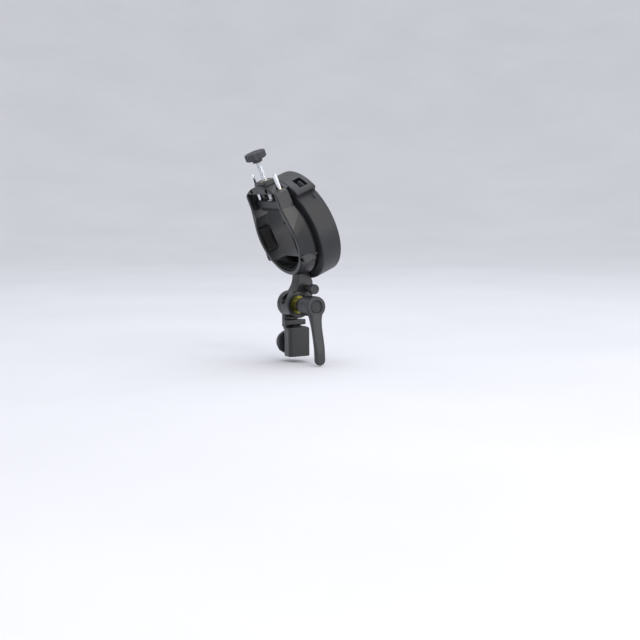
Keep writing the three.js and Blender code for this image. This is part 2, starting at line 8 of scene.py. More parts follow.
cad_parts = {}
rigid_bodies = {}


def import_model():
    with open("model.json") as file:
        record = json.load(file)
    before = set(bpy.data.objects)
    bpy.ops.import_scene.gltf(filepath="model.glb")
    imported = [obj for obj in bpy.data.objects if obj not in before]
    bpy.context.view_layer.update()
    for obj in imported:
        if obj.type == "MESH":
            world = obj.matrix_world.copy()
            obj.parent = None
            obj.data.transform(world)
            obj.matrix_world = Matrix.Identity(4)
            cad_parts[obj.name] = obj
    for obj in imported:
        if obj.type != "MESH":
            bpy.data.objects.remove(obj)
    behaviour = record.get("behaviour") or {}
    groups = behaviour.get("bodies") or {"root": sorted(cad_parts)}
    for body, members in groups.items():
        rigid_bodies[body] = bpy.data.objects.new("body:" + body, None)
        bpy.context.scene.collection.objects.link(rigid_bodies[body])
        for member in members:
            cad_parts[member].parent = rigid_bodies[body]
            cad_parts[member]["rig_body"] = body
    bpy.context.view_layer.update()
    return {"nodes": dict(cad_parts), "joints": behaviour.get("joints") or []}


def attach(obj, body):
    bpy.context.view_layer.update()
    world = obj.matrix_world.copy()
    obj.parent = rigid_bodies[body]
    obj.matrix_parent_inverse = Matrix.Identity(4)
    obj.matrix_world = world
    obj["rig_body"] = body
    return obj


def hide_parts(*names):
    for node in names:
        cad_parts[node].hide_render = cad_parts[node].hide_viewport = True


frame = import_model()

print("stage: frame loaded")

mm = 0.001
joints = {joint["name"]: joint for joint in frame["joints"]}
hinge = np.array(joints["head_tilt"]["pos_m"]) / mm
headUp = np.array(joints["jaw_slide"]["axis"])
tilt = np.arctan2(headUp[1], headUp[2])  # how far the ring looks up
ringZ = 74.0  # ring axis above the hinge axis, in the head's own frame
clampY = -20.0  # guide rods and clamp screw ahead of the hinge axis
rodX = 25.5


# Stand pieces are drawn in place, and pieces on the hinge line about the hinge. Head pieces turn back by
# the tilt about the hinge line: back is y cos + z sin, and up is z cos - y sin.
def standPlace(points):
    return points


def hingePlace(points):
    return points + hinge


def headPlace(points):
    x, y, z = points.T
    back = y * np.cos(tilt) + z * np.sin(tilt)
    up = z * np.cos(tilt) - y * np.sin(tilt)
    return np.stack([x, back, up], -1) + hinge


# Finishes


def toLinear(hexColour):
    srgb = np.array([int(hexColour[i:i + 2], 16) / 255 for i in (1, 3, 5)])
    linear = np.where(srgb <= 0.04045, srgb / 12.92, ((srgb + 0.055) / 1.055) ** 2.4)
    return (*linear, 1.0)


def addNode(tree, kind, settings=None, links=None):
    node = tree.nodes.new(kind)
    for key, value in (settings or {}).items():
        if isinstance(key, str) and hasattr(node, key):
            setattr(node, key, value)
        else:
            node.inputs[key].default_value = value
    for socket, source in (links or {}).items():
        tree.links.new(source, node.inputs[socket])
    return node


# One build for every finish: a fine grain in the bump, slow clouds in colour and roughness, edges that are
# softened and rubbed a little, and where it is asked for a coat. Sizes are in millimetres.
def makeFinish(name, look):
    material = bpy.data.materials.new(name)
    material.use_nodes = True
    tree = material.node_tree
    tree.nodes.clear()
    place = addNode(tree, "ShaderNodeTexCoord").outputs["Object"]
    mapped = addNode(tree, "ShaderNodeMapping",
                     {"Scale": look.get("stretch", (1, 1, 1)), "Rotation": look.get("turn", (0, 0, 0))},
                     {"Vector": place})
    grain = addNode(tree, "ShaderNodeTexNoise",
                    {"Scale": 1 / (look["grain"] * mm), "Detail": 3.0, "Roughness": 0.6},
                    {"Vector": mapped.outputs[0]})
    clouds = addNode(tree, "ShaderNodeTexNoise",
                     {"Scale": 1 / (look["cloud"] * mm), "Detail": 5.0, "Roughness": 0.55},
                     {"Vector": place})
    soft = addNode(tree, "ShaderNodeBevel", {"samples": 4, "Radius": look["softEdge"] * mm})
    bump = addNode(tree, "ShaderNodeBump",
                   {"Strength": look["grainStrength"], "Distance": look["grainDepth"] * mm},
                   {"Height": grain.outputs[0], "Normal": soft.outputs[0]})
    face = addNode(tree, "ShaderNodeNewGeometry").outputs["Normal"]
    sameWay = addNode(tree, "ShaderNodeVectorMath", {"operation": "DOT_PRODUCT"},
                      {0: soft.outputs[0], 1: face})
    edge = addNode(tree, "ShaderNodeMapRange",
                   {"From Min": 0.995, "From Max": 0.86, "To Min": 0.0, "To Max": 1.0},
                   {"Value": sameWay.outputs["Value"]})
    rubbed = addNode(tree, "ShaderNodeMath", {"operation": "MULTIPLY", "use_clamp": True},
                     {0: edge.outputs[0], 1: clouds.outputs[0]})
    tone = addNode(tree, "ShaderNodeValToRGB", None, {"Fac": clouds.outputs[0]})
    tone.color_ramp.elements[0].position = 0.32
    tone.color_ramp.elements[0].color = toLinear(look["dark"])
    tone.color_ramp.elements[1].position = 0.68
    tone.color_ramp.elements[1].color = toLinear(look["light"])
    worn = addNode(tree, "ShaderNodeMix", {"data_type": "RGBA"},
                   {0: rubbed.outputs[0], 6: tone.outputs[0]})
    worn.inputs[7].default_value = toLinear(look["worn"])
    smoothest, roughest = look["rough"]
    rough = addNode(tree, "ShaderNodeMapRange",
                    {"From Min": 0.3, "From Max": 0.7, "To Min": smoothest, "To Max": roughest},
                    {"Value": clouds.outputs[0]})
    shader = addNode(tree, "ShaderNodeBsdfPrincipled", {"Metallic": look.get("metal", 0.0)},
                     {"Base Color": worn.outputs[2], "Roughness": rough.outputs[0],
                      "Normal": bump.outputs[0]})
    for socket, value in look.get("sockets", {}).items():
        shader.inputs[socket].default_value = value
    addNode(tree, "ShaderNodeOutputMaterial", None, {"Surface": shader.outputs[0]})
    return material


# Black glass-filled nylon from a spark-eroded mould: an even grain that spreads highlights into a soft
# sheen. The grain is really about 0.15 mm and is drawn at 0.45 mm so that it shows.
moulded = makeFinish("glassFilledNylon", {
    "dark": "#17181a", "light": "#1f2023", "worn": "#36373b", "rough": (0.40, 0.52), "grain": 0.45,
    "grainDepth": 0.05, "grainStrength": 0.55, "cloud": 22, "softEdge": 0.55, "sockets": {"IOR": 1.53}})
# Die casting under satin black powder coat: a slow orange peel, a little glossier than the plastic.
painted = makeFinish("powderCoatedCasting", {
    "dark": "#141516", "light": "#1c1d1f", "worn": "#303236", "rough": (0.30, 0.42), "grain": 0.9,
    "grainDepth": 0.05, "grainStrength": 0.5, "cloud": 16, "softEdge": 0.6,
    "sockets": {"IOR": 1.5, "Coat Weight": 0.15, "Coat Roughness": 0.3}})
# Dark grey textured polyamide: a rough grip skin that looks almost dry.
grip = makeFinish("texturedPolyamide", {
    "dark": "#2b2c31", "light": "#35363c", "worn": "#4b4d54", "rough": (0.5, 0.64), "grain": 0.5,
    "grainDepth": 0.09, "grainStrength": 0.8, "cloud": 8, "softEdge": 0.4, "sockets": {"IOR": 1.53}})
# Lever: the same nylon with a finer skin, polished by hands. Its finer grain is
# drawn at 0.4 mm, again coarser than it is.
handled = makeFinish("handledNylon", {
    "dark": "#1f2022", "light": "#292a2d", "worn": "#3c3e42", "rough": (0.36, 0.46), "grain": 0.4,
    "grainDepth": 0.04, "grainStrength": 0.5, "cloud": 14, "softEdge": 0.5, "sockets": {"IOR": 1.53}})
# Moulded nitrile rubber: dead matt with a faint bloom.
rubber = makeFinish("nitrileRubber", {
    "dark": "#131313", "light": "#1c1c1b", "worn": "#2a2a29", "rough": (0.72, 0.88), "grain": 0.35,
    "grainDepth": 0.05, "grainStrength": 0.6, "cloud": 6, "softEdge": 0.3, "sockets": {"IOR": 1.5}})
# Hard chrome on ground bar: a near mirror with faint grinding lines across it.
chrome = makeFinish("hardChrome", {
    "dark": "#d5d8db", "light": "#e2e4e6", "worn": "#eceded", "rough": (0.06, 0.12), "grain": 0.5,
    "grainDepth": 0.006, "grainStrength": 0.3, "cloud": 10, "softEdge": 0.2, "metal": 1.0,
    "stretch": (0.4, 0.4, 4.0), "turn": (tilt, 0, 0)})
# Bright zinc on machined steel: grey with a soft crystalline mottle.
zincSteel = makeFinish("brightZincSteel", {
    "dark": "#94979b", "light": "#a3a6aa", "worn": "#c3c5c8", "rough": (0.27, 0.36), "grain": 0.5,
    "grainDepth": 0.02, "grainStrength": 0.4, "cloud": 3, "softEdge": 0.25, "metal": 1.0})
# Turned free-cutting brass, slightly dulled.
brass = makeFinish("turnedBrass", {
    "dark": "#9c8140", "light": "#b89a52", "worn": "#cdb26a", "rough": (0.22, 0.34), "grain": 0.35,
    "grainDepth": 0.015, "grainStrength": 0.4, "cloud": 4, "softEdge": 0.2, "metal": 1.0})
# Yellow chromate over zinc: olive gold that drifts towards green. Its colours are made darker than the
# plating itself, as painted shade for the washer's place in the recess between the ear and the lever.
yellowZincPaintedShade = makeFinish("yellowChromatePaintedShade", {
    "dark": "#5f5b26", "light": "#7b7834", "worn": "#a3a055", "rough": (0.24, 0.36), "grain": 0.4,
    "grainDepth": 0.01, "grainStrength": 0.3, "cloud": 2.5, "softEdge": 0.2, "metal": 1.0})
# Natural nylon: milky, waxy and slightly see-through.
naturalNylon = makeFinish("naturalNylon", {
    "dark": "#cbc8bc", "light": "#d8d5ca", "worn": "#e4e2da", "rough": (0.4, 0.5), "grain": 0.4,
    "grainDepth": 0.02, "grainStrength": 0.4, "cloud": 5, "softEdge": 0.2,
    "sockets": {"IOR": 1.53, "Subsurface Weight": 0.2, "Subsurface Scale": 0.001}})
print("stage: finishes made")

# Shapes: every solid is a closed grid of points, in millimetres, joined to others or cut by them.


# Corners of a closed outline turned into arcs. An arc touches both sides of its corner, so it starts its
# radius over the tangent of the half angle away, and its centre is on the bisector.
def roundCorners(corners, radii, steps=5):
    here = np.array(corners, float)
    radii = np.broadcast_to(np.array(radii, float), len(here))[:, None]
    before = np.roll(here, 1, 0) - here
    after = np.roll(here, -1, 0) - here
    before /= np.linalg.norm(before, axis=1, keepdims=True)
    after /= np.linalg.norm(after, axis=1, keepdims=True)
    half = np.arccos(np.clip((before * after).sum(1, keepdims=True), -1, 1)) / 2
    bisector = before + after
    bisector /= np.maximum(np.linalg.norm(bisector, axis=1, keepdims=True), 1e-9)
    centre = here + bisector * radii / np.sin(half)
    start = here + before * radii / np.tan(half) - centre
    end = here + after * radii / np.tan(half) - centre
    sweep = (np.pi - 2 * half)[:, None]
    part = np.linspace(0, 1, steps)[None, :, None]
    bend = np.sin((1 - part) * sweep) * start[:, None] + np.sin(part * sweep) * end[:, None]
    points = (centre[:, None] + bend / np.maximum(np.sin(sweep), 1e-9)).reshape(-1, 2)
    apart = np.linalg.norm(points - np.roll(points, 1, 0), axis=1) > 1e-4
    return points[apart]


# Points on a circle, their angle counted from up and growing towards +X.
def arc(radius, start, end, steps):
    angle = np.radians(np.linspace(start, end, steps))
    return np.stack([radius * np.sin(angle), radius * np.cos(angle)], -1)


# A Bezier curve of two or three controls.
def bezier(controls, steps=14):
    share = np.linspace(0, 1, steps)[:, None]
    level = [np.array(point, float) + 0 * share for point in controls]
    while len(level) > 1:
        level = [(1 - share) * a + share * b for a, b in zip(level, level[1:])]
    return level[0]


# A smooth curve through knots: cubic pieces whose slope at a knot is the mean slope about it.
def through(place, knots, values):
    knots, values = np.array(knots, float), np.array(values, float)
    slopes = np.gradient(values, knots)
    i = np.clip(np.searchsorted(knots, place) - 1, 0, len(knots) - 2)
    width = knots[i + 1] - knots[i]
    t = (place - knots[i]) / width
    ends = (2 * t**3 - 3 * t**2 + 1) * values[i] + (3 * t**2 - 2 * t**3) * values[i + 1]
    return ends + width * ((t**3 - 2 * t**2 + t) * slopes[i] + (t**3 - t**2) * slopes[i + 1])


# Points put in along the long sides of a profile.
def refine(profile, step):
    profile = np.array(profile, float)
    length = np.concatenate([[0], np.cumsum(np.linalg.norm(np.diff(profile, axis=0), axis=1))])
    extra = np.arange(0, length[-1], step)
    places = np.unique(np.round(np.concatenate([length, extra]), 5))
    return np.stack([np.interp(places, length, profile[:, k]) for k in (0, 1)], -1)


# Points closer than the limit are made one, which closes seams and poles and clears slivers.
def clean(mesh, limit):
    work = bmesh.new()
    work.from_mesh(mesh)
    bmesh.ops.remove_doubles(work, verts=work.verts, dist=limit)
    bmesh.ops.dissolve_degenerate(work, edges=work.edges, dist=limit)
    bmesh.ops.recalc_face_normals(work, faces=work.faces)
    work.to_mesh(mesh)
    work.free()


def addObject(name, points, faces):
    mesh = bpy.data.meshes.new(name)
    mesh.from_pydata((points * mm).tolist(), [], faces)
    clean(mesh, 1e-7)
    item = bpy.data.objects.new(name, mesh)
    bpy.context.scene.collection.objects.link(item)
    return item


# Quads between neighbouring rows of a grid whose columns close on themselves.
def gridFaces(rows, columns):
    column = np.arange(columns)
    start = np.arange(rows - 1)[:, None] * columns
    here = start + column
    beside = start + np.roll(column, -1)
    return np.stack([here, beside, beside + columns, here + columns], -1).reshape(-1, 4).tolist()


# The same grid with a face over its first row and one over its last.
def cappedFaces(rows, columns):
    last = (rows - 1) * columns
    return gridFaces(rows, columns) + [list(range(columns)), list(range(last, last + columns))]


def alongAxis(axis, across, up, along):
    order = {"x": (along, across, up), "y": (across, along, up), "z": (across, up, along)}[axis]
    return np.stack(np.broadcast_arrays(*order), -1).reshape(-1, 3)


# How far each row of a rim is drawn in, and where it lies: a quarter circle at each end, drawn in by the
# edge times one less the sine while it climbs by the edge times one less the cosine. A negative edge
# flares out.
def rimRows(low, high, edges, steps=5):
    lowEdge, highEdge = np.broadcast_to(edges, 2)
    bend = np.linspace(0, np.pi / 2, steps)
    lowClimb = low + abs(lowEdge) * (1 - np.cos(bend))
    highClimb = high - abs(highEdge) * (1 - np.cos(bend[::-1]))
    insets = np.concatenate([lowEdge * (1 - np.sin(bend)), highEdge * (1 - np.sin(bend[::-1]))])
    return insets, np.concatenate([lowClimb, highClimb])


# A profile of (radius, place along the axis) carried round the axis. Wave gives how far the surface stands
# off the profile at each turn of each row, for ribs, lobes and threads.
def turned(profile, axis, centre=(0, 0, 0), sides=96, wave=None):
    profile = np.array(profile, float)
    if profile[0, 0] > 0:
        profile = np.vstack([profile, profile[:1]])
    turn = np.linspace(0, 2 * np.pi, sides, endpoint=False)[None]
    radius = profile[:, :1] + np.zeros_like(turn)
    if wave:
        radius = radius + wave(turn, profile[:, :1], profile[:, 1:])
    points = alongAxis(axis, radius * np.sin(turn), radius * np.cos(turn), profile[:, 1:])
    return addObject("turned", points + centre, gridFaces(len(profile), sides))


# A turned solid that meets the axis at both ends, its corners rounded.
def turnedSolid(corners, radii, axis, centre=(0, 0, 0), sides=96, wave=None, step=None):
    ends = [(0, corners[0][1])] + list(corners) + [(0, corners[-1][1])]
    profile = roundCorners(ends, [0, *np.broadcast_to(radii, len(corners)), 0])
    if step:
        profile = refine(profile, step)
    return turned(profile, axis, centre, sides, wave)


def rod(radius, low, high, axis, centre=(0, 0, 0), edges=0.0, sides=48):
    insets, places = rimRows(low, high, edges)
    rows = np.stack([radius - insets, places], -1)
    return turned([(0, low), *rows, (0, high)], axis, centre, sides)


def tube(inner, outer, low, high, axis, centre=(0, 0, 0), edge=0.15, sides=96, wave=None, step=None):
    profile = roundCorners([(inner, low), (outer, low), (outer, high), (inner, high)], edge, 4)
    return turned(refine(profile, step) if step else profile, axis, centre, sides, wave)


# An outline, or a function that gives the outline at a place, carried along an axis with rounded rims.
def slab(outline, low, high, axis, edges=0.8, centre=(0, 0, 0)):
    insets, places = rimRows(low, high, edges)
    shapes = [np.array(outline(place) if callable(outline) else outline, float) for place in places]
    rows = []
    for inset, shape in zip(insets, shapes):
        ahead = np.roll(shape, -1, 0) - shape
        behind = shape - np.roll(shape, 1, 0)
        ahead /= np.linalg.norm(ahead, axis=1, keepdims=True)
        behind /= np.linalg.norm(behind, axis=1, keepdims=True)
        after = np.roll(shape, -1, 0)
        way = np.sign((shape[:, 0] * after[:, 1] - shape[:, 1] * after[:, 0]).sum())
        tangent = ahead + behind
        normal = np.stack([tangent[:, 1], -tangent[:, 0]], -1) * way
        rows.append(shape - inset * normal / np.linalg.norm(normal, axis=1, keepdims=True))
    rows = np.array(rows)
    points = alongAxis(axis, rows[..., 0], rows[..., 1], places[:, None])
    return addObject("slab", points + centre, cappedFaces(*rows.shape[:2]))


def rectangle(left, right, low, high, radius, steps=5):
    return roundCorners([(left, low), (right, low), (right, high), (left, high)], radius, steps)


def block(low, high, edges=0.6, corner=0.6, axis="z"):
    a, b, c = {"x": (1, 2, 0), "y": (0, 2, 1), "z": (0, 1, 2)}[axis]
    return slab(rectangle(low[a], high[a], low[b], high[b], corner), low[c], high[c], axis, edges)


# A sector of a ring: two arcs about the axis, with rounded corners where they meet. The arcs' own points
# keep one and a half corners away from their ends, so that the rounding has room.
def sector(inner, outer, start, end, corner=0.6, steps=40):
    def rimArc(radius, first, last):
        away = np.degrees(1.5 * corner / radius) * np.sign(last - first)
        middle = arc(radius, first + away, last - away, steps)
        return np.vstack([arc(radius, first, first, 1), middle, arc(radius, last, last, 1)])
    corners = np.vstack([rimArc(outer, start, end), rimArc(inner, end, start)])
    radii = np.zeros(len(corners))
    radii[[0, steps + 1, steps + 2, -1]] = corner
    return roundCorners(corners, radii, 5)


# Sections of a closed grid, given as one array of rows, columns and coordinates.
def lofted(rows):
    return addObject("lofted", rows.reshape(-1, 3), cappedFaces(*rows.shape[:2]))


# How far a thread is cut into a bar at each turn and place: half a pitch deep, with a flat crest and root
# between straight flanks. It fades in over one pitch at both ends.
def thread(pitch, low, high):
    def wave(turn, radius, place):
        phase = (place / pitch + turn / (2 * np.pi)) % 1
        groove = np.clip(1.15 - 2.6 * np.abs(phase - 0.5), 0, 1)
        fade = np.clip((place - low) / pitch, 0, 1) * np.clip((high - place) / pitch, 0, 1)
        return -0.5 * pitch * groove * fade * (radius > pitch)
    return wave


# A coil: a wire of round section carried along a helix with its end turns closed up.
def coil(radius, wire, low, high, turns, axis, centre=(0, 0, 0)):
    share = np.linspace(0, 1, int(turns * 28))[:, None]
    turn = 2 * np.pi * turns * share
    around = np.linspace(0, 2 * np.pi, 10, endpoint=False)[None]
    rise = low + wire + (high - low - 2 * wire) * share
    ends = np.clip(np.minimum(share, 1 - share) * 300, 0, 1)
    reach = radius + wire * ends * np.cos(around)
    along = rise + wire * ends * np.sin(around)
    points = alongAxis(axis, reach * np.sin(turn), reach * np.cos(turn), along)
    return addObject("coil", points + centre, gridFaces(len(share), 10))


def evaluated(item):
    graph = bpy.context.evaluated_depsgraph_get()
    return bpy.data.meshes.new_from_object(item.evaluated_get(graph))


# Joins solids to the first one, or cuts them from it.
def combine(base, operation, others):
    for other in others:
        step = base.modifiers.new("step", "BOOLEAN")
        step.operation = operation
        step.solver = "MANIFOLD"
        step.object = other
    shape = evaluated(base)
    base.modifiers.clear()
    base.data = shape
    for other in others:
        bpy.data.objects.remove(other)
    return base


def join(base, *others):
    return combine(base, "UNION", others)


def cut(base, *others):
    return combine(base, "DIFFERENCE", others)


def spun(item, axis, degrees, centre=(0, 0, 0)):
    middle = Matrix.Translation(Vector(centre) * mm)
    item.data.transform(middle @ Matrix.Rotation(np.radians(degrees), 4, axis) @ middle.inverted())
    return item


# Puts a finished solid in its place, shades it smooth up to an angle, and ties it to its nodes and body.
def settle(item, name, finish, nodes, place=headPlace, angle=34):
    mesh = item.data
    points = np.empty(len(mesh.vertices) * 3)
    mesh.vertices.foreach_get("co", points)
    mesh.vertices.foreach_set("co", (place(points.reshape(-1, 3) / mm) * mm).ravel())
    mesh.materials.clear()
    mesh.materials.append(finish)
    mesh.shade_smooth()
    mesh.set_sharp_from_angle(angle=np.radians(angle))
    weighted = item.modifiers.new("evenNormals", "WEIGHTED_NORMAL")
    weighted.keep_sharp = True
    item.name = mesh.name = name
    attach(item, frame["nodes"][nodes[0]]["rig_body"])
    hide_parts(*nodes)


# Stand socket: an arched block on the stand's spigot, a saddle under the hinge and one far ear.
socket = {"halfX": 11.5, "halfY": 13.4, "bottom": -27.0, "shoulder": 3.6, "rise": 3.4, "bore": 8.1,
          "corner": 3.2, "farCentre": -0.8, "farRadius": 12.1, "ear": 14.5, "earInner": 7.3, "edge": 1.1}
lockZ = -13.0


# The plan of the block is carried up to its shoulders and then closed over in shrinking rings. Every point
# drops with the arch, a circle through both shoulders and the crown.
def socketBlock(s):
    far = np.radians(np.linspace(90, -90, 48))
    farSide = np.stack([s["farCentre"] + s["farRadius"] * np.cos(far), s["farRadius"] * np.sin(far)], -1)
    corners = np.vstack([farSide, [(-s["halfX"], -s["halfY"]), (-s["halfX"], s["halfY"])]])
    plan = roundCorners(corners, [0] * len(far) + [s["corner"]] * 2, 12)
    archRadius = (s["halfY"] ** 2 + s["rise"] ** 2) / (2 * s["rise"])
    crown = s["shoulder"] + s["rise"]
    insets, places = rimRows(s["bottom"], crown, s["edge"], 7)
    shrink = np.concatenate([1 - insets / s["halfX"], np.linspace(0.85, 0, 12)])
    climb = np.concatenate([places, np.full(12, crown)])
    rows = plan[None] * shrink[:, None, None]
    arched = (np.arange(len(shrink)) >= 7)[:, None]
    drop = (archRadius - np.sqrt(archRadius**2 - rows[..., 1] ** 2)) * arched
    points = np.stack([rows[..., 0], rows[..., 1], climb[:, None] - drop], -1).reshape(-1, 3)
    return addObject("block", points, gridFaces(len(shrink), len(plan)) + [list(range(len(plan)))])


def makeSocket(s):
    h = tuple(hinge)
    lock = (0, 0, lockZ)
    saddlePlan = roundCorners(
        [(-2.5, -12.8), (0.5, -12.8), (7.3, -9.4), (7.3, 9.4), (0.5, 12.8), (-2.5, 12.8)], 1.2)
    saddle = slab(saddlePlan, 7.0, 13, "z", 0.9)
    waist = block((1, -9, 2), (11.5, 9, 9), 0.8, 2.0)
    arm = block((s["earInner"], -8.6, 4.5), (s["ear"], 8.6, hinge[2]), 0.8, 1.6)
    disc = turnedSolid([(s["ear"], s["earInner"]), (s["ear"], s["ear"])], 1.2, "x", h, 160)
    whole = join(socketBlock(s), rod(6.2, 8, 11.7, "x", lock, 0.5, 64), saddle, waist, arm, disc)
    mouth = s["bore"] + 3.1
    bore = turned([(0, -30), (mouth, -30), (s["bore"], -26.4), (s["bore"], 0), (0, 0)], "z", sides=128)
    cutters = [rod(3.3, 0, 20, "x", h), rod(6.3, 11.1, 20, "x", h, 0, 6), rod(3.9, 5, 9.75, "x", lock),
               rod(4.25, 9.7, 20, "x", lock)]
    whole = cut(whole, bore, *cutters)
    settle(whole, "standSocket", painted, ["stand_socket"], standPlace)


makeSocket(socket)

# Hinge bolt: a chamfered hexagon head sunk in the far ear, its shank threaded into the lever's nut.
bolt = {"head": 5.9, "headLow": 11.4, "headHigh": 14.0, "shank": 3.0, "end": -30.0, "pitch": 1.0}


def makeBolt(b):
    head = rod(b["head"], b["headLow"], b["headHigh"], "x", (0, 0, 0), 0, 6)
    dome = turnedSolid([(7.2, 11.2), (7.2, 13.0), (5.2, 14.0)], [0, 0.2, 0.2], "x", sides=64)
    head = combine(head, "INTERSECT", [dome])
    profile = refine([(0, b["end"]), (b["shank"], b["end"]), (b["shank"], 12), (0, 12)], 0.12)
    shank = turned(profile, "x", sides=40, wave=thread(b["pitch"], b["end"], -12))
    settle(join(head, shank), "pivotBolt", zincSteel, ["pivot_bolt"], hingePlace)


makeBolt(bolt)
print("stage: stand socket")


# A moulded knob: its outline swells and sinks by lobes, and a turned dome trims it. Each point stands at
# the smaller of the dome's radius and the middle radius plus the swell times the cosine of the lobes.
def lobes(middle, swell, count, phase=0.0):
    def wave(turn, radius, place):
        lobed = middle + swell * np.cos(count * (turn - phase))
        return np.minimum(radius, lobed) - radius
    return wave


# Stand lock, on the far side: a star knob with a cap, its screw, a threaded insert and a pressure pad.
lock = {"middle": 13.5, "swell": 0.7, "lobes": 6, "screw": 3.0, "pitch": 1.0, "cap": 7.0}


def makeLock(k):
    place = (0, 0, lockZ)
    profile = [(3.3, 19.8), (3.3, 13), (13.4, 13), (14.3, 14.4), (14.1, 15.4), (10.6, 23.4), (9.7, 24.6),
               (7.3, 24.6), (7.3, 23.8)]
    radii = [0.1, 0.3, 0.6, 0.8, 1.5, 0.6, 0.5, 0.25, 0.1]
    knob = turnedSolid(profile, radii, "x", place, 240, lobes(k["middle"], k["swell"], k["lobes"]), 0.5)
    settle(knob, "lockKnob", grip, ["lock_knob"], standPlace)
    cap = turnedSolid([(k["cap"], 24.1), (k["cap"], 25), (5.2, 25), (4.6, 24.7)], [0.2, 0.25, 0.3, 0.3],
                      "x", place, 96)
    settle(cap, "lockKnobCap", moulded, ["lock_knob_cap"], standPlace)
    wide = k["screw"]
    bar = refine([(0, 9.3), (wide - 0.4, 9.3), (wide, 9.8), (wide, 19.4), (0, 19.4)], 0.1)
    settle(turned(bar, "x", place, 48, thread(k["pitch"], 9.6, 19.6)), "lockScrew", zincSteel,
           ["lock_screw"], standPlace, 60)
    settle(tube(3.3, 4, 10, 11.7, "x", place, 0.12), "lockInsert", brass, ["lock_insert"], standPlace)
    settle(rod(3.5, 7.7, 9, "x", place, 0.3), "lockPad", naturalNylon, ["lock_pad"], standPlace)


makeLock(lock)
print("stage: stand lock")

# Tilt lever: a tall turned hub and an arm that flares into it, bows out and ends in a round tip. The arm's
# outer and inner lines are knots of height and reach.
lever = {"hub": 11.4, "half": 5.9, "tip": -56.4, "meet": 38, "straight": -26.0, "squareness": 4.5,
         "heights": [-66, -58, -52, -44, -34, -26, -16, -8, 0],
         "outer": [-55.5, -55.5, -55.35, -54.7, -52.5, -50.4, -48.3, -47.1, -46.9],
         "inner": [-50.0, -49.9, -49.8, -48.9, -46.6, -44.4, -41.4, -39.7, -39.6]}


# The arm's section is a rounded square: x goes as the cosine and y as the sine, each to the power of two
# over the squareness. The half width grows into the hub as the square of the share of the bend.
def leverArm(v):
    meetY, meetZ = v["hub"] * np.cos(np.radians(v["meet"])), -v["hub"] * np.sin(np.radians(v["meet"]))
    bendZ = meetZ - (meetY - v["half"]) / np.tan(np.radians(v["meet"]))
    flare = bezier([(v["half"], v["straight"]), (v["half"], bendZ), (meetY, meetZ)], 22)[::-1]
    straight = np.stack([np.full(26, v["half"]), np.linspace(v["straight"], v["tip"], 26)], -1)[1:]
    end = np.linspace(0, np.pi / 2, 22)[1:, None]
    tip = np.hstack([v["half"] * np.cos(end), v["tip"] - v["half"] * np.sin(end)])
    line = np.vstack([[(8.6, -1.0)], flare, straight, tip])
    half, height = line[:, :1], line[:, 1:]
    outer = through(height, v["heights"], v["outer"])
    inner = through(height, v["heights"], v["inner"])
    lowest = v["tip"] - v["half"]
    nearTip = np.clip((lowest + 2.2 - height) / 2.4, 0, 1)
    thick = (inner - outer) / 2 * np.sqrt(1 - nearTip**2)
    turn = np.linspace(0, 2 * np.pi, 72, endpoint=False)[None]
    power = 2 / v["squareness"]
    x = (outer + inner) / 2 + thick * np.sign(np.cos(turn)) * np.abs(np.cos(turn)) ** power
    y = half * np.sign(np.sin(turn)) * np.abs(np.sin(turn)) ** power
    return lofted(np.stack([x, y, height + 0 * x], -1))


def makeLever(v):
    corners = [(v["hub"], -47), (v["hub"], -39.5), (10.9, -38), (10.9, -27), (10.3, -24), (7.4, -14.4),
               (6.9, -13.9)]
    hub = turnedSolid(corners, [1.3, 0.8, 0.8, 2.5, 2.5, 0.4, 0.3], "x", sides=160)
    cutters = [rod(5.35, -34.35, -10, "x"), rod(3.6, -40, -30, "x"),
               rod(7, -47, -37.1, "x", edges=(-0.5, 0), sides=96)]
    handle = cut(join(hub, leverArm(v)), *cutters)
    settle(handle, "tiltLever", handled, ["tilt_lever"], hingePlace)
    dish = [(6.6, -44.6), (6.6, -46.3), (5.6, -46.3), (5.0, -45.9)]
    settle(turnedSolid(dish, [0.2, 0.35, 0.3, 0.4], "x", sides=96), "leverCap", moulded, ["lever_cap"],
           hingePlace)


makeLever(lever)

# The lever's nut is splined so that the lever can be lifted and set back at another angle.
nut = {"sleeve": 5.0, "flange": 6.6, "bore": 3.3, "splines": 24, "depth": 0.35, "end": -34.0,
       "seat": -13.5, "face": -9.7, "coil": 4.95, "wire": 0.48, "turns": 2.3}


def makeNut(n):
    def splines(turn, radius, place):
        ridge = 0.5 + 0.5 * np.cos(n["splines"] * turn)
        return -n["depth"] * ridge * ((place < -13.8) & (radius > 4))
    outer = [(n["sleeve"] - 0.5, n["end"]), (n["sleeve"], n["end"] + 0.6), (n["sleeve"], n["seat"]),
             (n["flange"], n["seat"]), (n["flange"], n["face"])]
    body = turnedSolid(outer, [0.1, 0.1, 0.1, 0.3, 0.3], "x", sides=192, wave=splines, step=1.0)
    body = cut(body, rod(n["bore"], -30.4, 0, "x"))
    settle(body, "leverNut", zincSteel, ["lever_nut"], hingePlace, 50)
    head = turnedSolid([(6, -42.6), (6, -44.2)], [0.15, 0.5], "x", sides=64)
    screw = join(head, rod(3.2, -42.7, -34.3, "x"))
    slot = block((-45, -4.5, -0.6), (-43.5, 4.5, 0.6), 0, 0.1)
    settle(cut(screw, slot), "leverScrew", zincSteel, ["lever_screw"], hingePlace)
    spring = coil(n["coil"], n["wire"], -42.3, -40, n["turns"], "x")
    settle(spring, "leverSpring", zincSteel, ["lever_spring"], hingePlace)


makeNut(nut)
washer = {"inner": 3.5, "outer": 9.8, "low": -9.4, "high": -7.9}
# The washer's yellow chromate is darkened as painted shade, for the shade in the recess between the ear
# and the lever.
settle(tube(washer["inner"], washer["outer"], washer["low"], washer["high"], "x", edge=0.3, sides=128),
       "platedWasher", yellowZincPaintedShade, ["plated_washer"], hingePlace)
print("stage: tilt lever")

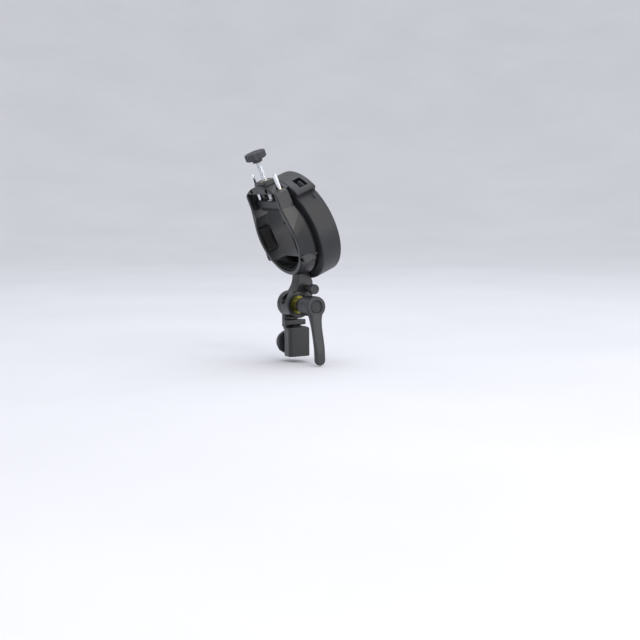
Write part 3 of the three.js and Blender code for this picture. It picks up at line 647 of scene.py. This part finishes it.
# Neck: the near ear of the hinge rising to a leaning arm that carries the clamp frame.
neck = {"half": 7.0, "ear": 14.8, "earNear": -10.5, "edge": 1.3, "shaftZ": 10.5, "thumbY": -18.5,
        "hole": 4.2, "screws": (-3.8, 3.8)}
frameSize = {"back": -8.0, "front": -24.5, "rearRadius": 42.6, "frontRadius": 47.5, "inner": 38.2,
             "half": 34.2, "top": 61.5, "corner": 49.0, "creaseBack": 36.5, "creaseFront": 33.9,
             "edge": 1.6, "windowHalf": 29.9, "windowTop": 53.0, "bossHalf": 11, "bossLow": 53.3,
             "bossHigh": 65}
onAxis = (0, 0, ringZ)


# An outline about the ring's axis, carried along the ring's depth.
def lift(outline, low, high, edges):
    return slab(outline, low, high, "y", edges, onAxis)


def makeNeck(n):
    f = frameSize
    front = bezier([(-27.6, 16), (-26.6, 11), (-20.5, -0.5)])
    rear = bezier([(8, 12.4), (-2, 14.5), (-13.5, 22), (-14, 34)], 22)
    side = np.vstack([[(-27.6, 34)], front, [(-10, -9), (6, 2)], rear])
    arm = slab(side, -n["half"], n["half"], "x", n["edge"])
    ear = turnedSolid([(n["ear"], n["earNear"]), (n["ear"], n["half"])], [1.0, 1.0], "x", sides=160)
    flare = turned([(0, 0), (f["rearRadius"] - 2.1, 0), (f["rearRadius"] + 0.3, f["back"]),
                    (f["frontRadius"] + 0.3, f["front"]), (0, f["front"])], "y", onAxis, 200)
    thumb = (0, n["thumbY"], n["shaftZ"])
    cutters = [flare, rod(44.3, -40, f["front"] + 0.1, "y", onAxis, 0, 200),
               rod(3.3, -20, 20, "x"), rod(11.6, -10.5, -7.6, "x", edges=(-0.4, 0), sides=128),
               rod(n["hole"], -60, 40, "y", (0, 0, n["shaftZ"]), 0, 64),
               rod(2.4, -20, 0, "x", thumb), rod(3.5, -7, -4.5, "x", thumb, (-0.4, 0))]
    cutters += [rod(1.9, 20, 40, "z", (x, clampY, 0), 0, 24) for x in n["screws"]]
    settle(cut(join(arm, ear), *cutters), "neckArm", painted, ["neck_arm"])
    settle(tube(2.3, 3.2, -7.6, -4.8, "x", thumb, 0.12), "umbrellaInsert", brass, ["umbrella_insert"])
    settle(rod(1.6, -5.4, -4.1, "x", thumb, 0.25), "umbrellaTip", naturalNylon, ["umbrella_tip"])


makeNeck(neck)

# Umbrella thumb screw: a slim knob with fine grooves on a shoulder, and its threaded bar.
thumbKnob = {"grip": 5.5, "grooves": 18, "depth": 0.4, "shoulder": 3.8, "pitch": 0.7}


def makeThumbKnob(k):
    def grooves(turn, radius, place):
        deep = np.abs(np.cos(k["grooves"] / 2 * turn)) ** 6
        on = np.clip((-16.6 - place) / 0.6, 0, 1) * np.clip((place + 21.6) / 0.6, 0, 1)
        return -k["depth"] * deep * on * (radius > 5.2)
    thumb = (0, neck["thumbY"], neck["shaftZ"])
    corners = [(2.3, -18.8), (2.3, -8.6), (k["shoulder"], -8.6), (k["shoulder"], -16), (k["grip"], -16),
               (k["grip"], -22), (3.2, -22), (2.7, -21.7)]
    radii = [0.1, 0.2, 0.3, 0.4, 0.5, 0.6, 0.2, 0.2]
    knob = turnedSolid(corners, radii, "x", thumb, 216, grooves, 0.3)
    settle(knob, "umbrellaKnob", grip, ["umbrella_knob"], angle=40)
    bar = refine([(0, -18.5), (2, -18.5), (2, -6.1), (1.6, -5.7), (0, -5.7)], 0.08)
    settle(turned(bar, "x", thumb, 36, thread(k["pitch"], -18.5, -5.9)), "umbrellaScrew", zincSteel,
           ["umbrella_screw"], angle=60)


makeThumbKnob(thumbKnob)
print("stage: neck")

# Clamp frame: a flared band with a tower over it. At any depth its outline is the flare's circle, a flat
# that touches it and rises to a crease, and the tower's side and rounded top.
bossPlaces = [(-37.3, -23.2), (37.3, -23.2), (-16.5, 56.4), (16.5, 56.4)]


def frameOutline(place):
    f = frameSize
    share = (place - f["back"]) / (f["front"] - f["back"])
    radius = f["rearRadius"] + share * (f["frontRadius"] - f["rearRadius"])
    crease = f["creaseBack"] + share * (f["creaseFront"] - f["creaseBack"])
    reach = np.hypot(f["half"], crease)
    touch = np.degrees(np.arctan2(f["half"], crease) + np.arccos(radius / reach))
    topTurn = np.degrees(np.arcsin((f["half"] - 1.6) / f["top"]))
    top = arc(f["top"], -topTurn, topTurn, 48)
    bottom = arc(radius, touch, 360 - touch, 160)
    sides = [(f["half"], f["corner"]), (f["half"], crease)]
    others = [(-f["half"], crease), (-f["half"], f["corner"])]
    corners = np.vstack([top, sides, bottom, others])
    radii = np.zeros(len(corners))
    radii[[0, 47]] = 2.2
    radii[[48, 49, -2, -1]] = [2.2, 2.4, 2.4, 2.2]
    return roundCorners(corners, radii, 5)


def makeFrame(f):
    shell = lift(frameOutline, f["front"], f["back"], (0.3, f["edge"]))
    # It starts just above the window's top, so that the screw's clip clears it when the jaw is right up.
    bossPlan = rectangle(-f["bossHalf"], f["bossHalf"], f["bossLow"], f["bossHigh"], 2.0)
    boss = lift(bossPlan, -26.6, -12.5, 1.0)
    flanks = [lift(rectangle(x - 3.4, x + 3.4, z - 4.8, z + 4.9, 1.0), f["front"], -8.8, (0.3, 0.8))
              for x, z in bossPlaces[:2]]
    springing = np.degrees(np.arcsin(f["windowHalf"] / f["inner"]))
    opening = np.vstack([arc(f["inner"], springing, 360 - springing, 160),
                         [(-f["windowHalf"], f["windowTop"]), (f["windowHalf"], f["windowTop"])]])
    opening = roundCorners(opening, [0] * 160 + [1.4, 1.4])
    holes = [lift(opening, f["front"], f["back"], (-0.3, -0.9))]
    for x in (-rodX, rodX):
        holes.append(rod(3.8, 40, 61.5, "z", (x, clampY, ringZ)))
    holes += [rod(3.7, 45, 65, "z", (0, clampY, ringZ)),
              rod(5.8, 57, 65, "z", (0, clampY, ringZ), (0, -0.4), 64)]
    holes += [rod(1.7, -40, 0, "y", (x, 0, ringZ + z), 0, 24) for x, z in bossPlaces]
    holes += [rod(2.6, -12.9, 0, "y", (x, 0, ringZ + z), 0, 32) for x, z in bossPlaces]
    holes += [rod(1.9, -50, 0, "z", (x, clampY, ringZ), 0, 24) for x in neck["screws"]]
    holes += [rod(3.1, -40.8, 0, "z", (x, clampY, ringZ), 0, 32) for x in neck["screws"]]
    settle(cut(join(shell, boss, *flanks), *holes), "clampFrame", painted, ["clamp_frame"])


makeFrame(frameSize)
print("stage: clamp frame")


# A machine screw along an axis: a rounded head with a cross cut in it and a threaded shank. Head and shank
# are radius, and places along the axis; out is the way that the head looks.
def machineScrew(head, shank, axis, centre, pitch):
    headRadius, headIn, headOut = head
    shankRadius, shankEnd = shank
    out = np.sign(headOut - headIn)
    cap = turnedSolid([(headRadius, headIn), (headRadius, headOut)],
                      [0.1, 0.45 * abs(headOut - headIn)], axis, centre, 40)
    low, high = sorted((shankEnd, headIn + 0.1 * out))
    bar = refine([(0, low), (shankRadius, low), (shankRadius, high), (0, high)], 0.16)
    whole = join(cap, turned(bar, axis, centre, 20, thread(pitch, low, high)))
    wide, thin = 0.55 * headRadius, 0.14 * headRadius
    start, stop = sorted((headOut - 0.45 * abs(headOut - headIn) * out, headOut + out))
    for across, up in ((wide, thin), (thin, wide)):
        points = rectangle(-across, across, -up, up, 0.05, 2)
        whole = cut(whole, slab(points, start, stop, axis, 0, centre))
    return whole


for i, x in enumerate(neck["screws"]):
    item = machineScrew((2.8, -40.5, -38.7), (1.6, -52), "z", (x, clampY, ringZ), 0.7)
    settle(item, f"neckScrew{i + 1}", zincSteel, [f"neck_screw_{i + 1}"], angle=45)
for i, (x, z) in enumerate(bossPlaces):
    item = machineScrew((2.3, -12.6, -10.6), (1.4, -33), "y", (x, 0, ringZ + z), 0.6)
    settle(item, f"housingScrew{i + 1}", zincSteel, [f"housing_screw_{i + 1}"], angle=45)

# Rubber liners: ribs along the band's depth stand off their inner faces. Turn is the middle of each one.
liners = {"inner": 35.6, "outer": 37.9, "back": -9.5, "front": -23.0, "rib": 0.45, "spacing": 2.6,
          "places": {"cradle_pad": ("cradlePad", 180, 42), "side_pad_near": ("sidePadNear", -96, 22),
                     "side_pad_far": ("sidePadFar", 96, 22)}}


def makeLiners(g):
    for node, (name, middle, half) in g["places"].items():
        turn = np.linspace(middle + half, middle - half, int(half * 8))
        dip = 0.5 + 0.5 * np.cos(2 * np.pi * (turn - middle) / g["spacing"])
        radius = g["inner"] + g["rib"] * dip**2
        inside = np.stack([radius * np.sin(np.radians(turn)), radius * np.cos(np.radians(turn))], -1)
        outside = arc(g["outer"], middle - half, middle + half, 60)
        item = lift(np.vstack([outside, inside]), g["front"], g["back"], 0.25)
        settle(item, name, rubber, [node])


makeLiners(liners)
for side, x in (("Near", -rodX), ("Far", rodX)):
    sleeve = roundCorners([(2.8, 51.6), (4.1, 51.6), (4.1, 52.7), (3.5, 52.7), (3.5, 54.6), (2.8, 54.6)],
                          0.1)
    settle(turned(sleeve, "z", (x, clampY, ringZ)), f"guideBush{side}", brass,
           [f"guide_bush_{side.lower()}"])
settle(tube(3.3, 5.5, 57.3, 64.7, "z", (0, clampY, ringZ), 0.3), "clampNut", brass, ["clamp_nut"])
print("stage: screws and liners")

# Jaw: a round-cornered bar on two chromed rods, with a ribbed rubber pad under it.
jaw = {"low": 33.0, "high": 42.0, "half": 29.0, "back": -15.5, "front": -24.4, "corner": 3.4,
       "padHalf": 24.0, "padLow": 30.2, "rib": 0.4, "spacing": 1.6, "rod": 2.5, "rodTop": 71.5}


def makeJaw(j):
    plan = rectangle(-j["half"], j["half"], j["low"], j["high"], j["corner"], 9)
    bar = lift(plan, j["front"], j["back"], 1.0)
    holes = [rod(2.8, j["low"] + 1.3, j["high"], "z", (x, clampY, ringZ), (0, -0.4))
             for x in (-rodX, rodX)]
    holes.append(rod(3.3, j["low"] + 2, j["high"], "z", (0, clampY, ringZ), (0, -0.5)))
    settle(cut(bar, *holes), "clampJaw", moulded, ["clamp_jaw"])
    x = np.linspace(j["padHalf"] - 0.5, 0.5 - j["padHalf"], 300)
    dip = (0.5 + 0.5 * np.cos(2 * np.pi * x / j["spacing"])) ** 2
    under = np.stack([x, j["padLow"] + j["rib"] * dip], -1)
    top = j["low"] - 0.3
    pad = np.vstack([[(-j["padHalf"], j["padLow"] + 0.5), (-j["padHalf"], top), (j["padHalf"], top),
                      (j["padHalf"], j["padLow"] + 0.5)], under])
    settle(lift(pad, -24, -16, 0.3), "jawPad", rubber, ["jaw_pad"])
    for side, place in (("Near", -rodX), ("Far", rodX)):
        item = rod(j["rod"], j["low"] + 1.6, j["rodTop"], "z", (place, clampY, ringZ), (0.3, 0.7), 96)
        settle(item, f"guideRod{side}", chrome, [f"guide_rod_{side.lower()}"])


makeJaw(jaw)

# Clamp screw with its groove and open clip, and the knob that turns it.
clamp = {"screw": 3.0, "groove": 2.2, "pitch": 1.0, "middle": 11.1, "swell": 0.6, "lobes": 10,
         "cap": 6.0}


def makeClampScrew(c):
    place = (0, clampY, ringZ)
    wide, narrow = c["screw"], c["groove"]
    bar = refine([(0, 35.3), (wide - 0.4, 35.3), (wide, 35.8), (wide, 42.2), (narrow, 42.2),
                  (narrow, 43.8), (wide, 43.8), (wide, 93.6), (0, 93.6)], 0.09)
    settle(turned(bar, "z", place, 56, thread(c["pitch"], 44.3, 93.6)), "clampScrew", chrome,
           ["clamp_screw"], angle=60)
    clip = cut(tube(2.55, 5, 42.3, 43.5, "z", place, 0.2, 64),
               block((-1.9, clampY - 8, ringZ + 40), (1.9, clampY, ringZ + 46), 0, 0.2))
    settle(clip, "screwClip", zincSteel, ["screw_clip"])
    corners = [(3.3, 94), (3.3, 86), (5.4, 86), (5.6, 89.5), (10.4, 89.5), (12, 90.8), (12, 96),
               (10.8, 97.1), (6.3, 97.1), (6.3, 96.2)]
    radii = [0.1, 0.2, 0.4, 0.8, 1.0, 0.8, 0.8, 0.8, 0.3, 0.1]
    outline = lobes(c["middle"], c["swell"], c["lobes"], np.pi / c["lobes"])
    knob = turnedSolid(corners, radii, "z", place, 300, outline, 0.35)
    settle(knob, "clampKnob", grip, ["clamp_knob"])
    cap = turnedSolid([(c["cap"], 96.5), (c["cap"], 97.3), (4.6, 97.3), (4.1, 97.05)],
                      [0.15, 0.25, 0.25, 0.3], "z", place)
    settle(cap, "clampKnobCap", moulded, ["clamp_knob_cap"])


makeClampScrew(clamp)
print("stage: clamp jaw")

# Bayonet ring: a thick moulded ring with a raised hood, a lug channel behind the plate and a latch window.
ring = {"outer": 56.0, "hood": 61.95, "bore": 41.0, "back": -28.0, "front": -53.0, "collar": 44.0,
        "hoodTurn": 44.5, "top": 61.5, "edge": 1.6, "latchTurn": 31.0, "pinReach": 54.4, "markTurn": 51}
plate = {"inner": 43.8, "outer": 51.0, "slot": 49.4, "face": -52.7, "back": -50.5,
         "screws": (96, 114, 216, 234, 336, 354), "slots": (45, 165, 285), "circle": 47.6}


def onRing(radius, degrees):
    turn = np.radians(degrees)
    return (radius * np.sin(turn), 0, ringZ + radius * np.cos(turn))


def makeRing(r):
    corners = [(r["bore"], -24.8), (r["collar"], -24.8), (r["collar"], r["back"]),
               (r["outer"], r["back"]), (r["outer"], r["front"]), (51.3, r["front"]), (51.3, -50.2),
               (49.9, -50.2), (49.9, -44.5), (r["bore"], -44.5)]
    radii = [0.5, 0.4, 0.5, r["edge"], r["edge"], 0.4, 0.15, 0.15, 0.4, 0.6]
    body = turned(roundCorners(corners, radii, 6), "y", onAxis, 256)
    hoodPlan = sector(54.5, r["hood"], -r["hoodTurn"], r["hoodTurn"], 2.2, 72)
    hood = lift(hoodPlan, r["front"], r["back"], 1.5)
    bridge = lift(sector(48, r["top"], -29, 29, 0.8, 48), -29.8, -24.8, 0.4)
    posts = [spun(lift(sector(45.3, 50.4, -15, 15, 0.4, 20), -50.2, -44, 0.2), "Y", turn, onAxis)
             for turn in (105, 225, 345)]
    window = lift(rectangle(-7.5, 7.5, 52, 70, 1.0), -47, -37, 0.0)
    mark = lift(rectangle(-3.4, 3.4, 54.9, 60, 0.3), -46, -40, 0.2)
    pinHole = rod(2.1, -60, -40, "y", (0, 0, ringZ + r["pinReach"]))
    cutters = [spun(window, "Y", -r["latchTurn"], onAxis), spun(pinHole, "Y", -r["latchTurn"], onAxis),
               spun(mark, "Y", -r["markTurn"], onAxis),
               lift(rectangle(-11.4, 11.4, 50, 70, 1.0), -27, -20, 0.3)]
    cutters += [rod(1.4, -60, -45, "y", onRing(plate["circle"], turn), 0, 24) for turn in plate["screws"]]
    cutters += [rod(1.7, -33.3, -20, "y", (x, 0, ringZ + z), 0, 24) for x, z in bossPlaces]
    settle(cut(join(body, hood, bridge, *posts), *cutters), "ringHousing", moulded, ["ring_housing"])


def makePlate(p):
    body = tube(p["inner"], p["outer"], p["face"], p["back"], "y", onAxis, 0.25, 256)
    slots = [spun(lift(sector(40, p["slot"], -15, 15, 0.8, 24), -56, -48, 0), "Y", turn, onAxis)
             for turn in p["slots"]]
    holes = [rod(1.4, -60, -45, "y", onRing(p["circle"], turn), 0, 24) for turn in p["screws"]]
    sinks = [rod(2.3, p["face"], -51.7, "y", onRing(p["circle"], turn), (-0.2, 0), 48)
             for turn in p["screws"]]
    settle(cut(body, *slots, *holes, *sinks), "bayonetPlate", zincSteel, ["bayonet_plate"])
    for i, turn in enumerate(p["screws"]):
        item = machineScrew((2, -52.0, -52.6), (1.1, -45.3), "y", onRing(p["circle"], turn), 0.5)
        settle(item, f"plateScrew{i + 1}", zincSteel, [f"plate_screw_{i + 1}"], angle=45)


makeRing(ring)
makePlate(plate)
print("stage: bayonet ring")

# Latch: a ridged thumb slider in the window, the pin that it draws back and its two springs.
latch = {"half": 5.6, "ridges": 5, "spring": 3.7, "springReach": 55.6}


def makeLatch(k):
    def turnedIn(item):
        return spun(item, "Y", -ring["latchTurn"], onAxis)
    body = lift(rectangle(-k["half"], k["half"], 52.4, 58.2, 0.6), -46.6, -41.6, 0.5)
    ridge = lift(rectangle(-4.8, 4.8, 57, 59.8, 0.5), -45.4, -42.8, 0.5)
    body = join(body, ridge)
    places = np.linspace(-3.6, 3.6, k["ridges"])
    grooves = [lift(roundCorners([(x - 0.5, 60.5), (x, 59.1), (x + 0.5, 60.5)], 0.1), -46, -42, 0)
               for x in places]
    seats = [rod(2.1, -50, -43.6, "y", (0, 0, ringZ + ring["pinReach"]))]
    seats += [rod(1.5, -44.9, -40, "y", (x, 0, ringZ + k["springReach"]))
              for x in (-k["spring"], k["spring"])]
    settle(turnedIn(cut(body, *grooves, *seats)), "latchSlider", grip, ["latch_slider"])
    pin = rod(1.8, -55, -43.9, "y", (0, 0, ringZ + ring["pinReach"]), (0.8, 0.3), 64)
    settle(turnedIn(pin), "latchPin", zincSteel, ["latch_pin"])
    for side, x in (("Near", -k["spring"]), ("Far", k["spring"])):
        item = coil(0.98, 0.2, -41.3, -37.3, 7, "y", (x, 0, ringZ + k["springReach"]))
        settle(turnedIn(item), f"latchSpring{side}", zincSteel, [f"latch_spring_{side.lower()}"])


makeLatch(latch)
print("stage: latch")

# Studio: a wide pale dish for the floor, four softboxes and a pale world.
studio = {"floorZ": -0.0335, "flat": 2.0, "rim": 9.0, "rise": 5.0}


def makeFloor(s):
    share = np.concatenate([np.linspace(0, 1, 12), 1 + np.linspace(0, 1, 24)[1:]])
    radius = np.where(share < 1, share * s["flat"], s["flat"] + (share - 1) * (s["rim"] - s["flat"]))
    height = s["floorZ"] + s["rise"] * (1 - np.cos(np.clip(share - 1, 0, 1) * np.pi / 2))
    turn = np.linspace(0, 2 * np.pi, 96, endpoint=False)[None]
    radius, height = radius[:, None], height[:, None]
    points = alongAxis("z", radius * np.sin(turn), radius * np.cos(turn), height)
    floor = addObject("studioFloor", points / mm, gridFaces(len(share), 96))
    floor.data.materials.append(paper)
    floor.data.shade_smooth()


# Matt background paper: a faint fibre keeps the pale surface from looking like a flat colour.
paper = makeFinish("backgroundPaper", {
    "dark": "#d9d9dd", "light": "#dedee2", "worn": "#dedee2", "rough": (0.85, 0.95), "grain": 1.2,
    "grainDepth": 0.03, "grainStrength": 0.3, "cloud": 300, "softEdge": 0.2})
makeFloor(studio)


# A softbox: where it stands from the hinge in metres, its size, power and colour.
softboxes = {
    "keySoftbox": {"place": (-1.5, 0.1, 1.0), "size": (0.8, 1.3), "power": 11, "colour": "#fffaf4"},
    "topSoftbox": {"place": (0.2, -0.4, 1.7), "size": (1.4, 1.4), "power": 11, "colour": "#eef3ff"},
    "leverStrip": {"place": (-1.3, -0.8, 0.2), "size": (0.3, 1.1), "power": 5, "colour": "#ffffff"},
    "cornerStrip": {"place": (-0.8, 1.35, 0.3), "size": (0.15, 1.2), "power": 2.2, "colour": "#f4f7ff"}}


aimAbove = 0.05  # metres above the hinge


def addSoftbox(name, box):
    light = bpy.data.lights.new(name, "AREA")
    light.shape = "RECTANGLE"
    light.size, light.size_y = box["size"]
    light.energy = box["power"]
    light.color = toLinear(box["colour"])[:3]
    item = bpy.data.objects.new(name, light)
    middle = Vector(hinge) * mm
    aim = middle + Vector((0, 0, aimAbove))
    item.location = Vector(box["place"]) + middle
    item.rotation_euler = (item.location - aim).to_track_quat("Z", "Y").to_euler()
    bpy.context.scene.collection.objects.link(item)


for name, box in softboxes.items():
    addSoftbox(name, box)
world = bpy.data.worlds.new("studioWorld")
bpy.context.scene.world = world
world.use_nodes = True
backdrop = world.node_tree.nodes["Background"]
backdrop.inputs["Color"].default_value = toLinear("#eef0f4")
backdrop.inputs["Strength"].default_value = 1.0
bpy.context.scene.view_settings.view_transform = "Standard"

# Camera: it stands behind the lever's side, a little above the hinge, and its frame is shifted up from the
# optical axis. Where is the hinge's place in the view as shares of the distance.
view = {"azimuth": 239.0, "elevation": 4.8, "roll": 0.4, "distance": 1.5, "lens": 76.78, "shift": -0.03125,
        "where": (-0.018535, -0.00293)}


def addCamera(v):
    a, e, roll = np.radians([v["azimuth"], v["elevation"], v["roll"]])
    back = np.array([np.sin(a) * np.cos(e), -np.cos(a) * np.cos(e), np.sin(e)])
    right = np.cross(-back, (0, 0, 1))
    right /= np.linalg.norm(right)
    up = np.cross(right, -back)
    side = right * np.cos(roll) - up * np.sin(roll)
    above = up * np.cos(roll) + right * np.sin(roll)
    ray = side * v["where"][0] + above * v["where"][1] - back
    spot = hinge * mm - v["distance"] * ray / np.linalg.norm(ray)
    data = bpy.data.cameras.new("studioCamera")
    data.sensor_width = 36.0
    data.lens = v["lens"]
    data.shift_y = v["shift"]
    item = bpy.data.objects.new("studioCamera", data)
    pose = np.eye(4)
    pose[:3] = np.column_stack([side, above, back, spot])
    item.matrix_world = Matrix(pose.tolist())
    bpy.context.scene.collection.objects.link(item)
    bpy.context.scene.camera = item


addCamera(view)
print("stage: studio")
